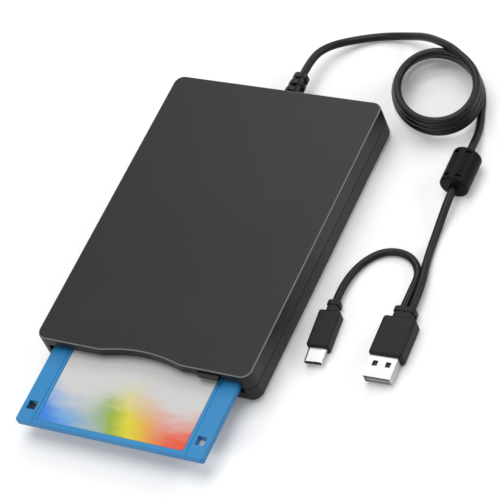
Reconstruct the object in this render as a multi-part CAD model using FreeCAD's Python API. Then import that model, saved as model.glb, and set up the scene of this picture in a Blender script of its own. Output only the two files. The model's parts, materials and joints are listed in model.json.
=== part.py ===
"""External 3.5 inch floppy disk drive with a disk half in its slot and a forked lead.

Millimetres, +Z up, front at -Y. The origin is at the middle of the case and disk, on the
surface that the four feet stand on.
"""
import FreeCAD, Part
import math
import os

from FreeCAD import Vector as V

os.makedirs("parts", exist_ok=True)

# Case
case_width = 103.0
case_length = 146.0
case_height = 18.8
case_wall = 1.7
case_corner = 4.5
top_edge = 0.9
bottom_edge = 2.6
foot_height = 0.8
foot_radius = 4.0
foot_inset = 12.0
boss_inset = 8.0
usb_board_z = 5.2
parting_z = 10.2
front_wall = 2.0
notch_width = 40.0
notch_depth = 2.8
notch_blend = 8.0
parting_gap = 0.4

# Disk
disk_width = 90.0
disk_length = 94.0
disk_thickness = 3.3
disk_out = 36.8
disk_bottom = 9.1
hub_from_edge = 45.5
media_radius = disk_width / 2 - 2.1
media_thickness = 0.12
hub_radius = 12.3
hub_hole = 2.1
shutter_width = 35.0
shutter_length = 31.0
shutter_sheet = 0.2
shutter_travel = 20.0
window_width = 9.0
window_inner = 22.0
window_outer = 42.0
label_width = 70.0
label_length = 56.0
label_sheet = 0.12
label_corner = 1.5
rib_x = disk_width / 2 - 8.1
rib_groove = 0.35
label_setback = 2.4
corner_hole = 4.2
corner_hole_x = disk_width / 2 - 4.4
corner_hole_inset = 8.4
tab_travel = 4.5

# Slot and travels
slot_bottom = 7.2
slot_top = 14.4
slot_half = disk_width / 2 + 1.4
insert_travel = disk_out + 1.2
drop_travel = 1.6
plate_travel = 4.5
head_travel = 15.0

# Sheet metal of the mechanism
sheet = 0.8
sheet_play = 0.4
carrier_inner = disk_width / 2 + sheet_play
carrier_top = 13.8
plate_inner = carrier_inner + sheet + sheet_play
chassis_inner = plate_inner + sheet + sheet_play
chassis_floor = 2.8
chassis_wall_top = 13.6
chassis_front = 6.0
chassis_length = 124.0
cam_pin_radius = 1.0
cam_clearance = 0.3
cam_places = (24.0, 80.0)
pin_z = 10.9

# Eject button
button_width = 10.0
button_height = 2.4
button_x = 32.5
button_bottom = 14.9
button_out = 1.7
button_gap = 0.3

# Spindle motor
rotor_radius = 17.5
rotor_top = 6.9
pin_top = 7.3
board_sheet = 1.0
shaft_radius = 1.8
shaft_fit = 0.05

# Heads
head_rest_radius = 39.3
head_half = 1.8
head_reach = 25.0
arm_half = 4.0
block_length = 13.0
block_left = -15.0
block_right = 8.8
guide_x = -11.0
guide_z = 7.2
guide_radius = 1.5
screw_x = 16.0
screw_z = 9.3
screw_radius = 1.5
motor_radius = 5.4
hinge_z = 14.8
hinge_pin = 0.8

# Cord
cord_diameter = 3.6
tail_diameter = 3.4
relief_base = 4.6
relief_tip = 2.7
relief_length = 17.0
relief_x = 2.0
relief_flange = 1.6
relief_z = 9.4
coil_x = 68.9
coil_y = 108.1
coil_axis = 135.0
coil_long = 20.7
coil_long_growth = 1.5
coil_short = 16.9
coil_short_growth = 0.45
coil_drift = 2.17
coil_pitch = 4.12
coil_start = 60.0
coil_end = 9.0
coil_turns = 3
coil_arcs = 14
bead_length = 17.5
bead_radius = 6.4
bead_bore = 2.0
bead_x = 92.75
bead_y = 70.7
drop_straight = 13.3

# Larger plug
plug_a_inlet = V(95.8, 0.2, 3.8)
plug_a_turn = 1.9
plug_a_spread = 1.85
a_relief = 5.5
a_body = 19.5
a_width = 14.8
a_height = 7.6
a_neck = 8.6
a_shell_width = 12.0
a_shell_height = 4.5
a_shell_length = 10.2
a_sheet = 0.3

# Smaller plug
plug_c_inlet = V(63.6, -1.7, 2.95)
plug_c_turn = 4.9
c_relief = 5.5
c_body = 18.4
c_width = 9.8
c_height = 5.9
c_neck = 4.8
c_shell_width = 8.3
c_shell_height = 2.5
c_shell_length = 6.7

# Places that follow
front_y = (disk_out - case_length) / 2
back_y = front_y + case_length
disk_front = front_y - disk_out
disk_back = disk_front + disk_length
disk_top = disk_bottom + disk_thickness
disk_middle = disk_bottom + disk_thickness / 2
hub_y = disk_back - hub_from_edge
spindle_y = hub_y + insert_travel
cord_z = cord_diameter / 2
inner_top = case_height - case_wall
inner_floor = foot_height + case_wall
head_y = spindle_y + head_rest_radius
block_front = head_y + head_reach
bead_z = bead_radius
boss_places = [(side * (case_width / 2 - boss_inset), back_y - 7.5) for side in (-1, 1)]
foot_places = [(side * (case_width / 2 - foot_inset), y) for side in (-1, 1)
               for y in (front_y + foot_inset, back_y - 19)]
hinge_y = block_front + block_length - 3.6
rod_start = block_front - head_travel - 1.4
rod_end = block_front + block_length + 0.7
screw_start = block_front - head_travel + 0.2
motor_front = block_front + 4.2
motor_back = front_y + chassis_front + chassis_length - 0.3


def box(x0, x1, y0, y1, z0, z1):
    return Part.makeBox(x1 - x0, y1 - y0, z1 - z0, V(x0, y0, z0))


def rod(radius, start, end):
    a, b = V(*start), V(*end)
    return Part.makeCylinder(radius, (b - a).Length, a, b - a)


def cone(radius_a, radius_b, start, end):
    a, b = V(*start), V(*end)
    return Part.makeCone(radius_a, radius_b, (b - a).Length, a, b - a)


def rounded_box(x0, x1, y0, y1, z0, z1, radius):
    """A block with its four upright edges rounded."""
    block = box(x0, x1, y0, y1, z0, z1)
    upright = [e for e in block.Edges if abs(e.Vertexes[0].Z - e.Vertexes[1].Z) > 0.01]
    return block.makeFillet(radius, upright)


def edges_at(shape, z):
    """The edges that lie wholly at one height."""
    return [e for e in shape.Edges if all(abs(p.z - z) < 1e-4 for p in e.discretize(3))]


def fuse(first, *others):
    return first.fuse(list(others)).removeSplitter()


def prism(points, direction):
    """A flat outline of straight edges, drawn out along a direction."""
    wire = Part.makePolygon([V(*p) for p in points] + [V(*points[0])])
    return Part.Face(wire).extrude(V(*direction))


def save(name, shape):
    if shape.ShapeType == "Compound" and len(shape.Solids) == 1:
        shape = shape.Solids[0]
    assert shape.isValid(), name
    assert shape.Solids, name
    shape.exportStep("parts/%s.step" % name)


# Case
def case_block(z0, z1, inset=0.0):
    half = case_width / 2 - inset
    return rounded_box(-half, half, front_y + inset, back_y - inset, z0, z1, case_corner - inset)


def notch_cutter(depth, z0, z1):
    """The finger notch: a wide shallow arc that runs into the front face through a small one at each end."""
    half = notch_width / 2
    radii = (half ** 2 + depth ** 2) / (2 * depth)
    share = notch_blend / radii
    main_radius = radii - notch_blend
    y = front_y
    meet = V(half * (1 - share), y + notch_blend + (depth - radii) * share, z0)
    lean = math.asin(half / radii) / 2
    bend = V(half - notch_blend * math.sin(lean), y + notch_blend * (1 - math.cos(lean)), z0)
    mirror = [V(-p.x, p.y, z0) for p in (meet, bend)]
    left = Part.Arc(V(-half, y, z0), mirror[1], mirror[0])
    middle = Part.Arc(mirror[0], V(0, y + main_radius - (radii - depth - notch_blend), z0), meet)
    right = Part.Arc(meet, bend, V(half, y, z0))
    close = [V(half, y, z0), V(half, y - 5, z0), V(-half, y - 5, z0), V(-half, y, z0)]
    edges = [left.toShape(), middle.toShape(), right.toShape()]
    edges += [Part.LineSegment(a, b).toShape() for a, b in zip(close, close[1:])]
    return Part.Face(Part.Wire(edges)).extrude(V(0, 0, z1 - z0))


def top_cover():
    """The lid: a moulded shell with the finger notch, the slot's upper edge and screw posts."""
    outside = case_block(parting_z, case_height)
    outside = outside.cut(notch_cutter(notch_depth, parting_z - 1, case_height + 1))
    outside = outside.makeFillet(top_edge, edges_at(outside, case_height))
    inside = case_block(parting_z - 1, inner_top, case_wall)
    inside = inside.cut(notch_cutter(notch_depth + front_wall, parting_z - 1, case_height))
    shell = outside.cut(inside)
    shell = shell.cut(box(-slot_half, slot_half, front_y - 1, front_y + 9, parting_z - 1, slot_top))
    window = (button_x - button_width / 2 - button_gap, button_x + button_width / 2 + button_gap)
    shell = shell.cut(box(*window, front_y - 1, front_y + 6, slot_top - 1,
                          button_bottom + button_height + button_gap))
    for x, y in boss_places:
        post = rod(2.6, (x, y, parting_z), (x, y, inner_top + 0.2))
        shell = fuse(shell, post).cut(rod(0.9, (x, y, parting_z - 1), (x, y, inner_top - 1.5)))
    for y in (front_y + 30, front_y + 60, front_y + 90):
        for side in (-1, 1):
            ends = sorted((side * 18.0, side * 42.0))
            shell = fuse(shell, box(*ends, y, y + 1, inner_top - 0.6, inner_top + 0.1))
    gland = rod(relief_base - 0.6, (relief_x, back_y - 4, relief_z), (relief_x, back_y + 2, relief_z))
    return shell.cut(gland)


def bottom_cover():
    """The tray: rounded lower edges, slot lip, screw holes, foot seats and mechanism posts."""
    outside = case_block(foot_height, parting_z)
    outside = outside.makeFillet(bottom_edge, edges_at(outside, foot_height))
    shell = outside.cut(case_block(inner_floor, parting_z + 1, case_wall))
    rim = case_block(parting_z - parting_gap, parting_z + 1)
    shell = shell.cut(rim.cut(case_block(parting_z - parting_gap, parting_z + 1, parting_gap)))
    shell = shell.cut(box(-slot_half, slot_half, front_y - 1, front_y + 5, slot_bottom, parting_z + 1))
    for x, y in boss_places:
        post = rod(3.2, (x, y, foot_height + 0.4), (x, y, parting_z))
        shell = fuse(shell, post)
        shell = shell.cut(rod(1.2, (x, y, foot_height - 1), (x, y, parting_z + 1)))
        shell = shell.cut(rod(2.3, (x, y, foot_height - 1), (x, y, foot_height + 2.2)))
    for x, y in foot_places:
        shell = shell.cut(rod(foot_radius + 0.1, (x, y, foot_height - 1), (x, y, foot_height + 0.5)))
    for x in (-26.0, 26.0):
        for y in (back_y - 12.5, back_y - 6.0):
            post = rod(1.6, (x, y, inner_floor - 0.1), (x, y, usb_board_z))
            shell = fuse(shell, post)
    gland = rod(relief_base - 0.6, (relief_x, back_y - 4, relief_z), (relief_x, back_y + 2, relief_z))
    return shell.cut(gland)


def feet():
    pads = [rod(foot_radius, (x, y, 0), (x, y, foot_height + 0.5)) for x, y in foot_places]
    return Part.makeCompound([p.makeFillet(0.3, edges_at(p, 0)) for p in pads])


def case_screws():
    screws = []
    for x, y in boss_places:
        head = rod(2.1, (x, y, foot_height + 0.7), (x, y, foot_height + 2.2))
        head = head.cut(box(x - 1.4, x + 1.4, y - 0.3, y + 0.3, foot_height, foot_height + 1.3))
        head = head.cut(box(x - 0.3, x + 0.3, y - 1.4, y + 1.4, foot_height, foot_height + 1.3))
        screws.append(fuse(head, rod(0.85, (x, y, foot_height + 2), (x, y, inner_top - 2.5))))
    return Part.makeCompound(screws)


# Chassis, slide plate and carrier
def chassis():
    """A folded sheet tray with side walls, upright guide slots and lightening holes."""
    y0, y1 = front_y + chassis_front, front_y + chassis_front + chassis_length
    out = chassis_inner + sheet
    tray = box(-out, out, y0, y1, chassis_floor, chassis_floor + sheet)
    for side in (-1, 1):
        ends = sorted((side * chassis_inner, side * out))
        tray = fuse(tray, box(*ends, y0, y1, chassis_floor, chassis_wall_top))
        for place in cam_places:
            tray = tray.cut(guide_slot(side, front_y + place))
    for x, y, r in ((-36, 40, 6), (36, 40, 6), (-36, 70, 6), (36, 70, 6), (0, 92, 5)):
        tray = tray.cut(rod(r, (x, front_y + y, 0), (x, front_y + y, chassis_floor + 2)))
    return tray


def guide_slot(side, y):
    half = cam_pin_radius + cam_clearance
    ends = sorted((side * (chassis_inner - 0.2), side * (chassis_inner + sheet + 0.2)))
    return box(*ends, y - half, y + half, pin_z - drop_travel - half, pin_z + half)


def cam_slot(side, y):
    """The inclined slot that turns the plate's slide into the carrier's drop."""
    half = cam_pin_radius + cam_clearance
    x0 = side * (plate_inner - 0.2)
    depth = side * (sheet + 0.4)
    low = (y + plate_travel, pin_z - drop_travel)
    length = math.hypot(plate_travel, drop_travel)
    ny, nz = drop_travel / length * half, plate_travel / length * half
    strip = prism([(x0, y - ny, pin_z - nz), (x0, low[0] - ny, low[1] - nz),
                   (x0, low[0] + ny, low[1] + nz), (x0, y + ny, pin_z + nz)], (depth, 0, 0))
    ends = [rod(half, (x0, py, pz), (x0 + depth, py, pz)) for py, pz in ((y, pin_z), low)]
    return fuse(strip, *ends)


def slide_plate():
    """The U-shaped plate that the eject button pushes, with four inclined cam slots."""
    y0, y1 = front_y + 12.0, front_y + 96.0
    z0 = chassis_floor + sheet + 0.4
    out = plate_inner + sheet
    bar = box(-out, out, y0, y0 + 10, z0, z0 + sheet)
    plate = bar
    for side in (-1, 1):
        wall = sorted((side * plate_inner, side * out))
        strip = sorted((side * (plate_inner - 6), side * out))
        plate = fuse(plate, box(*wall, y0, y1, z0, 12.9), box(*strip, y0, y1, z0, z0 + sheet))
        for place in cam_places:
            plate = plate.cut(cam_slot(side, front_y + place))
    ear = box(plate_inner, out, y0, y0 + 9, 12.0, button_bottom + 1.6)
    tab = box(button_x - 3, out, y0, y0 + 9, button_bottom + 0.8, button_bottom + 1.6)
    return fuse(plate, ear, tab)


def eject_button():
    """A square-nosed button with a stop flange and a stem that sits under the plate's tab."""
    x0, x1 = button_x - button_width / 2, button_x + button_width / 2
    z0, z1 = button_bottom, button_bottom + button_height
    flange_y = front_y + front_wall + plate_travel + 0.4
    nose = box(x0, x1, front_y - button_out, flange_y, z0, z1 - 0.3)
    nose = nose.makeFillet(0.4, [e for e in nose.Edges
                                 if all(abs(v.Y - (front_y - button_out)) < 1e-6 for v in e.Vertexes)])
    flange = box(x0 - 1.2, x1 + 1.2, flange_y, flange_y + 1.2, z0, z1 - 0.3)
    stem = box(button_x - 2.5, button_x + 2.5, flange_y, front_y + 20.0, z0, z0 + 0.8)
    return fuse(nose, flange, stem)


def disk_carrier():
    """The tray that holds the disk by its edges and drops it on to the spindle."""
    y0, y1 = front_y + 10.5, front_y + 96.5
    out = carrier_inner + sheet
    top = box(-out, out, y0, y1, carrier_top - 0.6, carrier_top)
    top = top.cut(box(-8, 8, front_y + 52, y1 + 1, 0, 20))
    top = top.cut(box(-20, 20, y0 - 1, front_y + 26, 0, 20))
    for side in (-1, 1):
        ends = sorted((side * 14.0, side * 36.0))
        hole = rounded_box(*ends, front_y + 34, front_y + 84, 0, 20, 4)
        top = top.cut(hole)
    parts = []
    for side in (-1, 1):
        wall = sorted((side * carrier_inner, side * out))
        lip = sorted((side * (carrier_inner - 3.4), side * out))
        parts.append(box(*wall, y0, y1, disk_bottom - 1.1, carrier_top))
        parts.append(box(*lip, y0, y1, disk_bottom - 1.1, disk_bottom - 0.3))
        for place in cam_places:
            y = front_y + place
            parts.append(rod(cam_pin_radius, (side * (out - 0.1), y, pin_z),
                             (side * (chassis_inner + sheet), y, pin_z)))
    return fuse(top, *parts)


def ejector_slider():
    """The follower that rides in the carrier and pushes the disk's leading edge out."""
    y0 = disk_back + 0.3
    foot = box(24, carrier_inner - 0.5, y0, y0 + 4, disk_bottom + 0.2, disk_top - 0.2)
    post = box(30, 40, y0, y0 + 4, disk_bottom + 0.2, carrier_top - 0.9)
    return fuse(foot, post)


# Disk
def disk_outline(z0, z1, inset=0.0):
    """The square jacket with one corner cut off at its leading edge."""
    half, cut = disk_width / 2 - inset, 4.5
    y0, y1 = disk_front + inset, disk_back - inset
    face = Part.makePolygon([V(-half, y0, z0), V(half, y0, z0), V(half, y1 - cut, z0),
                             V(half - cut, y1, z0), V(-half, y1, z0), V(-half, y0, z0)])
    block = Part.Face(face).extrude(V(0, 0, z1 - z0))
    upright = [e for e in block.Edges if abs(e.Vertexes[0].Z - e.Vertexes[1].Z) > 0.01
               and (e.Vertexes[0].Y < y0 + 0.1 or e.Vertexes[0].X < 0)]
    return block.makeFillet(1.2, upright)


def square_hole(x):
    y = disk_front + corner_hole_inset
    h = corner_hole / 2
    return box(x - h, x + h, y - h, y + h, disk_bottom - 1, disk_top + 1)


def head_window():
    w = window_width / 2
    return box(-w, w, hub_y + window_inner, hub_y + window_outer, disk_bottom - 1, disk_top + 1)


def shutter_recess(z0, z1):
    x0 = -shutter_width / 2 - shutter_travel + 8.2
    return box(x0, shutter_width / 2 + 8.8, disk_back - shutter_length - 0.5, disk_back + 1, z0, z1)


def disk_shell(upper):
    """One half of the jacket, with the chamber for the media and the shutter's recess."""
    z0, z1 = (disk_middle, disk_top) if upper else (disk_bottom, disk_middle)
    shell = disk_outline(z0, z1)
    outer = z1 if upper else z0
    shell = shell.makeFillet(0.5, [e for e in edges_at(shell, outer)])
    chamber = rod(media_radius + 0.5, (0, hub_y, disk_middle - 0.45), (0, hub_y, disk_middle + 0.45))
    shell = shell.cut(chamber).cut(head_window()).cut(square_hole(corner_hole_x))
    web = shutter_sheet + 0.15
    face = (disk_top - web, disk_top + 1) if upper else (disk_bottom - 1, disk_bottom + web)
    shell = shell.cut(shutter_recess(*face))
    nose = shutter_recess(disk_bottom - 1, disk_top + 1)
    shell = shell.cut(nose.common(box(-60, 60, disk_back - web, disk_back + 1, 0, 20)))
    if upper:
        h = label_width / 2 + 0.3
        shell = shell.cut(box(-h, h, disk_front + label_setback - 0.2,
                              disk_front + label_setback + label_length + 0.3, disk_top - 0.2, disk_top + 1))
        shell = shell.cut(square_hole(-corner_hole_x))
        for x in (-rib_x, rib_x):
            shell = shell.cut(box(x - rib_groove / 2, x + rib_groove / 2, disk_front - 1,
                                  disk_front + label_setback + label_length, disk_top - 0.2, disk_top + 1))
        return shell.cut(rod(hub_radius + 1, (0, hub_y, disk_middle - 0.1), (0, hub_y, disk_middle + 0.8)))
    shell = shell.cut(rod(hub_radius + 0.8, (0, hub_y, 0), (0, hub_y, disk_middle + 1)))
    return shell.cut(tab_pocket())


def tab_pocket():
    y, h = disk_front + corner_hole_inset, corner_hole / 2 + 0.15
    return box(-corner_hole_x - h, -corner_hole_x + h, y - h, y + h + tab_travel,
               disk_bottom - 1, disk_middle)


def write_protect_tab():
    y, h = disk_front + corner_hole_inset, corner_hole / 2
    tab = box(-corner_hole_x - h, -corner_hole_x + h, y - h, y + h, disk_bottom + 0.2, disk_middle - 0.1)
    return tab.cut(box(-corner_hole_x - 1.2, -corner_hole_x + 1.2, y - 0.4, y + 0.4, 0, disk_bottom + 0.7))


def disk_media():
    ring = rod(media_radius, (0, hub_y, disk_middle - media_thickness / 2),
               (0, hub_y, disk_middle + media_thickness / 2))
    return ring.cut(rod(hub_radius - 3, (0, hub_y, 0), (0, hub_y, 20)))


def disk_hub():
    """The pressed metal centre with its square hole and its drive slot."""
    low, high = disk_bottom + 0.2, disk_middle - media_thickness / 2
    hub = rod(hub_radius, (0, hub_y, high - 0.4), (0, hub_y, high))
    hub = fuse(hub, rod(hub_radius - 2, (0, hub_y, low), (0, hub_y, high)))
    hub = hub.cut(rod(hub_radius - 2.6, (0, hub_y, low + 0.4), (0, hub_y, high + 1)))
    h = hub_hole
    hub = hub.cut(box(-h, h, hub_y - h, hub_y + h, 0, 20))
    return hub.cut(box(5.5, 8.5, hub_y - 2, hub_y + 2, 0, 20))


def disk_shutter():
    """A folded metal door round the leading edge, closed over the head window."""
    x0, x1 = -shutter_width / 2 + 8.5, shutter_width / 2 + 8.5
    y0, y1 = disk_back - shutter_length, disk_back
    door = box(x0, x1, y0, y1, disk_bottom, disk_top)
    door = door.cut(box(x0 - 1, x1 + 1, y0 - 1, y1 - shutter_sheet, disk_bottom + shutter_sheet,
                        disk_top - shutter_sheet))
    w = window_width / 2
    gap = box(shutter_travel - w, shutter_travel + w, hub_y + window_inner - 1,
              hub_y + window_outer, disk_bottom - 1, disk_top + 1)
    return door.cut(gap)


def disk_label():
    y0 = disk_front + label_setback
    sheet_block = box(-label_width / 2, label_width / 2, y0, y0 + label_length,
                      disk_top - 0.2, disk_top - 0.2 + label_sheet)
    upright = [e for e in sheet_block.Edges if abs(e.Vertexes[0].Z - e.Vertexes[1].Z) > 0.01]
    return sheet_block.makeFillet(label_corner, upright)


# Spindle
def motor_board():
    z0 = chassis_floor + sheet
    board = box(-24, 24, spindle_y - 22, spindle_y + 18.5, z0, z0 + board_sheet)
    return board.cut(rod(shaft_radius + 1.0, (0, spindle_y, 0), (0, spindle_y, 9)))


def stator():
    """Nine wound teeth round a core ring."""
    z0 = chassis_floor + sheet + board_sheet
    z1 = z0 + 1.0
    core = rod(6.5, (0, spindle_y, z0), (0, spindle_y, z1))
    core = core.cut(rod(4.2, (0, spindle_y, z0 - 1), (0, spindle_y, z1 + 1)))
    teeth = []
    for i in range(9):
        tooth = box(6.0, 14.5, -1.3, 1.3, z0, z1)
        tooth = fuse(tooth, box(13.4, 14.5, -2.6, 2.6, z0, z1))
        tooth.rotate(V(0, 0, 0), V(0, 0, 1), i * 40)
        tooth.translate(V(0, spindle_y, 0))
        teeth.append(tooth)
    return fuse(core, *teeth)


def spindle_bearing():
    z0 = chassis_floor + sheet
    tube = rod(shaft_radius + 0.95, (0, spindle_y, z0), (0, spindle_y, rotor_top - 0.9))
    return tube.cut(rod(shaft_radius + shaft_fit, (0, spindle_y, z0 - 1), (0, spindle_y, 9)))


def spindle_rotor():
    """A flat cup with its magnet ring, shaft, centring pin and drive nub."""
    z0 = chassis_floor + sheet + board_sheet + 0.3
    cup = rod(rotor_radius, (0, spindle_y, z0), (0, spindle_y, rotor_top))
    cup = cup.cut(rod(rotor_radius - 1.8, (0, spindle_y, z0 - 1), (0, spindle_y, rotor_top - 0.6)))
    shaft = rod(shaft_radius, (0, spindle_y, chassis_floor + sheet + 0.2), (0, spindle_y, pin_top))
    nub = rod(0.8, (7.0, spindle_y, rotor_top - 0.2), (7.0, spindle_y, pin_top))
    return fuse(cup, shaft, nub)


# Heads
def carriage_block():
    """The carriage with its guide bore, needle, hinge ears and lower head arm."""
    y0, y1 = block_front, block_front + block_length
    block = box(block_left, block_right, y0, y1, 4.6, 12.4)
    block = block.cut(box(-8.0, 6.0, y0 + 2, y1 - 2, 8.5, 13))
    block = block.cut(rod(guide_radius + shaft_fit, (guide_x, y0 - 1, guide_z), (guide_x, y1 + 1, guide_z)))
    needle = box(block_right - 0.1, screw_x - screw_radius - 0.3, y0 + 1, y0 + 2.2,
                 screw_z - 0.6, screw_z + 0.6)
    arm = box(-arm_half, arm_half, head_y - 3.2, y0 + 0.1, 4.6, 6.2)
    ears = []
    for x0, x1 in ((-7.2, -5.4), (5.4, 7.2)):
        ears.append(box(x0, x1, y1 - 5.2, y1 - 2.0, 8.0, hinge_z + 1.6))
    body = fuse(block, needle, arm, *ears)
    return body.cut(rod(hinge_pin + shaft_fit, (-8, hinge_y, hinge_z), (8, hinge_y, hinge_z)))


def lower_head():
    return box(-2.6, 2.6, head_y - head_half, head_y + head_half, 6.2, disk_bottom - 0.3)


def upper_arm():
    """The sprung arm that lays the upper head on the media."""
    y0 = head_y - 3.2
    z0, z1 = hinge_z - 0.1, hinge_z + 0.9
    arm = box(-arm_half, arm_half, y0, hinge_y + 1.0, z0, z1)
    for side in (-1, 1):
        ends = sorted((side * (arm_half - 0.7), side * arm_half))
        arm = fuse(arm, box(*ends, y0 + 8, hinge_y - 2.5, z1 - 0.1, z1 + 0.7))
    pin = rod(hinge_pin, (-7.1, hinge_y, hinge_z), (7.1, hinge_y, hinge_z))
    barrel = rod(1.4, (-4.8, hinge_y, hinge_z), (4.8, hinge_y, hinge_z))
    return fuse(arm, barrel, pin)


def upper_head():
    return box(-2.6, 2.6, head_y - head_half, head_y + head_half, disk_top + 0.35, hinge_z - 0.1)


def guide_rod():
    return rod(guide_radius, (guide_x, rod_start - 1.5, guide_z), (guide_x, rod_end + 1.5, guide_z))


def rod_brackets():
    """Two folded posts on the chassis that hold the guide rod."""
    posts = []
    for y in (rod_start - 1.6, rod_end):
        post = box(guide_x - 2.6, guide_x + 2.6, y, y + 1.6, chassis_floor + sheet, guide_z + 2.6)
        posts.append(post.cut(rod(guide_radius, (guide_x, y - 1, guide_z), (guide_x, y + 3, guide_z))))
    return Part.makeCompound(posts)


def stepper_motor():
    can = rod(motor_radius, (screw_x, motor_front, screw_z), (screw_x, motor_back, screw_z))
    can = can.makeFillet(0.8, [e for e in can.Edges if e.Closed])
    seat = box(screw_x - 3.5, screw_x + 3.5, motor_front + 1.5, motor_back - 1.5,
               chassis_floor + sheet, screw_z - motor_radius + 1.0)
    return fuse(can, seat).cut(rod(1.0 + shaft_fit, (screw_x, motor_front - 1, screw_z),
                                   (screw_x, motor_front + 4, screw_z)))


def lead_screw():
    """A steel screw with a coarse groove, journalled in the motor and the front bearing."""
    screw = rod(screw_radius, (screw_x, screw_start, screw_z), (screw_x, motor_front - 0.3, screw_z))
    for i in range(5):
        y = screw_start + 1.6 + i * 3.75
        groove = rod(screw_radius + 1, (screw_x, y, screw_z), (screw_x, y + 0.8, screw_z))
        groove = groove.cut(rod(screw_radius - 0.35, (screw_x, y - 1, screw_z), (screw_x, y + 2, screw_z)))
        screw = screw.cut(groove)
    return fuse(screw, rod(1.0, (screw_x, screw_start - 1.6, screw_z), (screw_x, motor_front + 3.5, screw_z)))


def screw_bearing():
    y0 = screw_start - 1.9
    post = box(screw_x - 2.4, screw_x + 2.4, y0, y0 + 1.6, chassis_floor + sheet, screw_z + 2.4)
    return post.cut(rod(1.0 + shaft_fit, (screw_x, y0 - 1, screw_z), (screw_x, y0 + 3, screw_z)))


# Boards
def main_board():
    z0 = chassis_floor + sheet + 1.2
    y0, y1 = front_y + 99.0, front_y + chassis_front + chassis_length - 1
    board = box(-46.0, -18.0, y0, y1, z0, z0 + board_sheet)
    for x in (-43.0, -21.0):
        for y in (y0 + 3, y1 - 3):
            board = fuse(board, rod(1.5, (x, y, chassis_floor + sheet), (x, y, z0)))
    chips = [box(-40, -30, y0 + 7, y0 + 17, z0 + board_sheet, z0 + board_sheet + 1.2),
             box(-27, -21, y0 + 8, y0 + 14, z0 + board_sheet, z0 + board_sheet + 1.1),
             box(-42, -26, y1 - 5, y1 - 1.5, z0 + board_sheet, z0 + board_sheet + 2.4)]
    return fuse(board, *chips)


def usb_board():
    y0, y1 = back_y - 15.0, back_y - case_wall - relief_flange - 0.3
    board = box(-31, 31, y0, y1, usb_board_z, usb_board_z + board_sheet)
    z = usb_board_z + board_sheet
    chips = [box(-12, -3, y0 + 2, y0 + 10, z, z + 1.2), box(-26, -16, y0 + 1, y0 + 4, z, z + 2.4),
             box(14, 25, y0 + 2, y0 + 5.5, z, z + 3.2)]
    crystal = rounded_box(-1, 8.5, y0 + 1, y0 + 4.5, z, z + 2.0, 1.7)
    return fuse(board, *chips, crystal)


def ribbon_cable():
    """A flat ribbon that arches from the drive board's socket to the bridge board's."""
    za = chassis_floor + sheet + 1.2 + board_sheet + 2.4
    zb = usb_board_z + board_sheet + 2.4
    y0, y1 = front_y + chassis_front + chassis_length - 1 - 4.2, back_y - 13.2
    top = 11.2
    outer = Part.Arc(V(-26, y0, za), V(-26, (y0 + y1) / 2, top), V(-26, y1, zb)).toShape()
    inner = Part.Arc(V(-26, y1 - 0.6, zb), V(-26, (y0 + y1) / 2, top - 0.35), V(-26, y0 + 0.6, za)).toShape()
    a = Part.LineSegment(V(-26, y1, zb), V(-26, y1 - 0.6, zb)).toShape()
    b = Part.LineSegment(V(-26, y0 + 0.6, za), V(-26, y0, za)).toShape()
    return Part.Face(Part.Wire([outer, a, inner, b])).extrude(V(9, 0, 0))


# Cord
def strain_relief():
    """A tapered rubber sleeve with ribs, keyed into the back wall."""
    y0 = back_y
    inside = y0 - case_wall
    sleeve = cone(relief_base - 0.9, relief_tip, (relief_x, y0, relief_z),
                  (relief_x, y0 + relief_length, relief_z))
    stub = rod(relief_base - 0.6, (relief_x, inside, relief_z), (relief_x, y0 + 0.4, relief_z))
    anchor = rod(relief_base + 0.6, (relief_x, inside - relief_flange, relief_z),
                 (relief_x, inside, relief_z))
    ribs = []
    count = 5
    for i in range(count):
        y = y0 + 0.2 + i * 3.2
        r = relief_base - (relief_base - relief_tip) * i / count
        ribs.append(rod(r, (relief_x, y, relief_z), (relief_x, y + 1.8, relief_z)))
    return fuse(sleeve, stub, anchor, *ribs)


def unit(v):
    return v * (1.0 / v.Length)


def fillet_path(points):
    """Straight runs joined by tangent arcs, each as large as its two runs allow."""
    edges, radii, last = [], [], points[0]
    for before, corner, after in zip(points, points[1:], points[2:]):
        a, b = before - corner, after - corner
        reach = 0.45 * min(a.Length, b.Length)
        a, b = unit(a), unit(b)
        turn = math.pi - math.acos(max(-1, min(1, a.dot(b))))
        radius = reach / math.tan(turn / 2)
        start, end = corner + a * reach, corner + b * reach
        middle = corner + unit(a + b) * (radius / math.cos(turn / 2) - radius)
        edges.append(Part.LineSegment(last, start).toShape())
        edges.append(Part.Arc(start, middle, end).toShape())
        radii.append(radius)
        last = end
    edges.append(Part.LineSegment(last, points[-1]).toShape())
    return Part.Wire(edges), radii


def tube(name, points, diameter):
    path, radii = fillet_path([V(*p) for p in points])
    solid = swept(path, points[0], unit(V(*points[1]) - V(*points[0])), diameter)
    ideal = math.pi * diameter ** 2 / 4 * path.Length
    print("%s length %.1f volume ratio %.4f radii %s" % (
        name, path.Length, solid.Volume / ideal, " ".join("%.0f" % r for r in radii)))
    return solid


def swept(path, start, direction, diameter):
    ring = Part.Wire(Part.Circle(V(*start), direction, diameter / 2).toShape())
    return path.makePipeShell([ring], True, False)


def coil_length():
    """How many turns the coil has in all."""
    return coil_turns + (coil_start - coil_end) / 360.0


def coil_point(turned):
    """A point of the coil's middle line: oval turns, clockwise seen from above, each below the last."""
    angle = math.radians(coil_start - 360.0 * turned - coil_axis)
    along = coil_drift * turned + (coil_long + coil_long_growth * turned) * math.cos(angle)
    across = (coil_short + coil_short_growth * turned) * math.sin(angle)
    height = cord_z + coil_pitch * (coil_length() - turned)
    place = V(along, across, height)
    turn = math.radians(coil_axis)
    return V(coil_x + place.x * math.cos(turn) - place.y * math.sin(turn),
             coil_y + place.x * math.sin(turn) + place.y * math.cos(turn), height)


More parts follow.
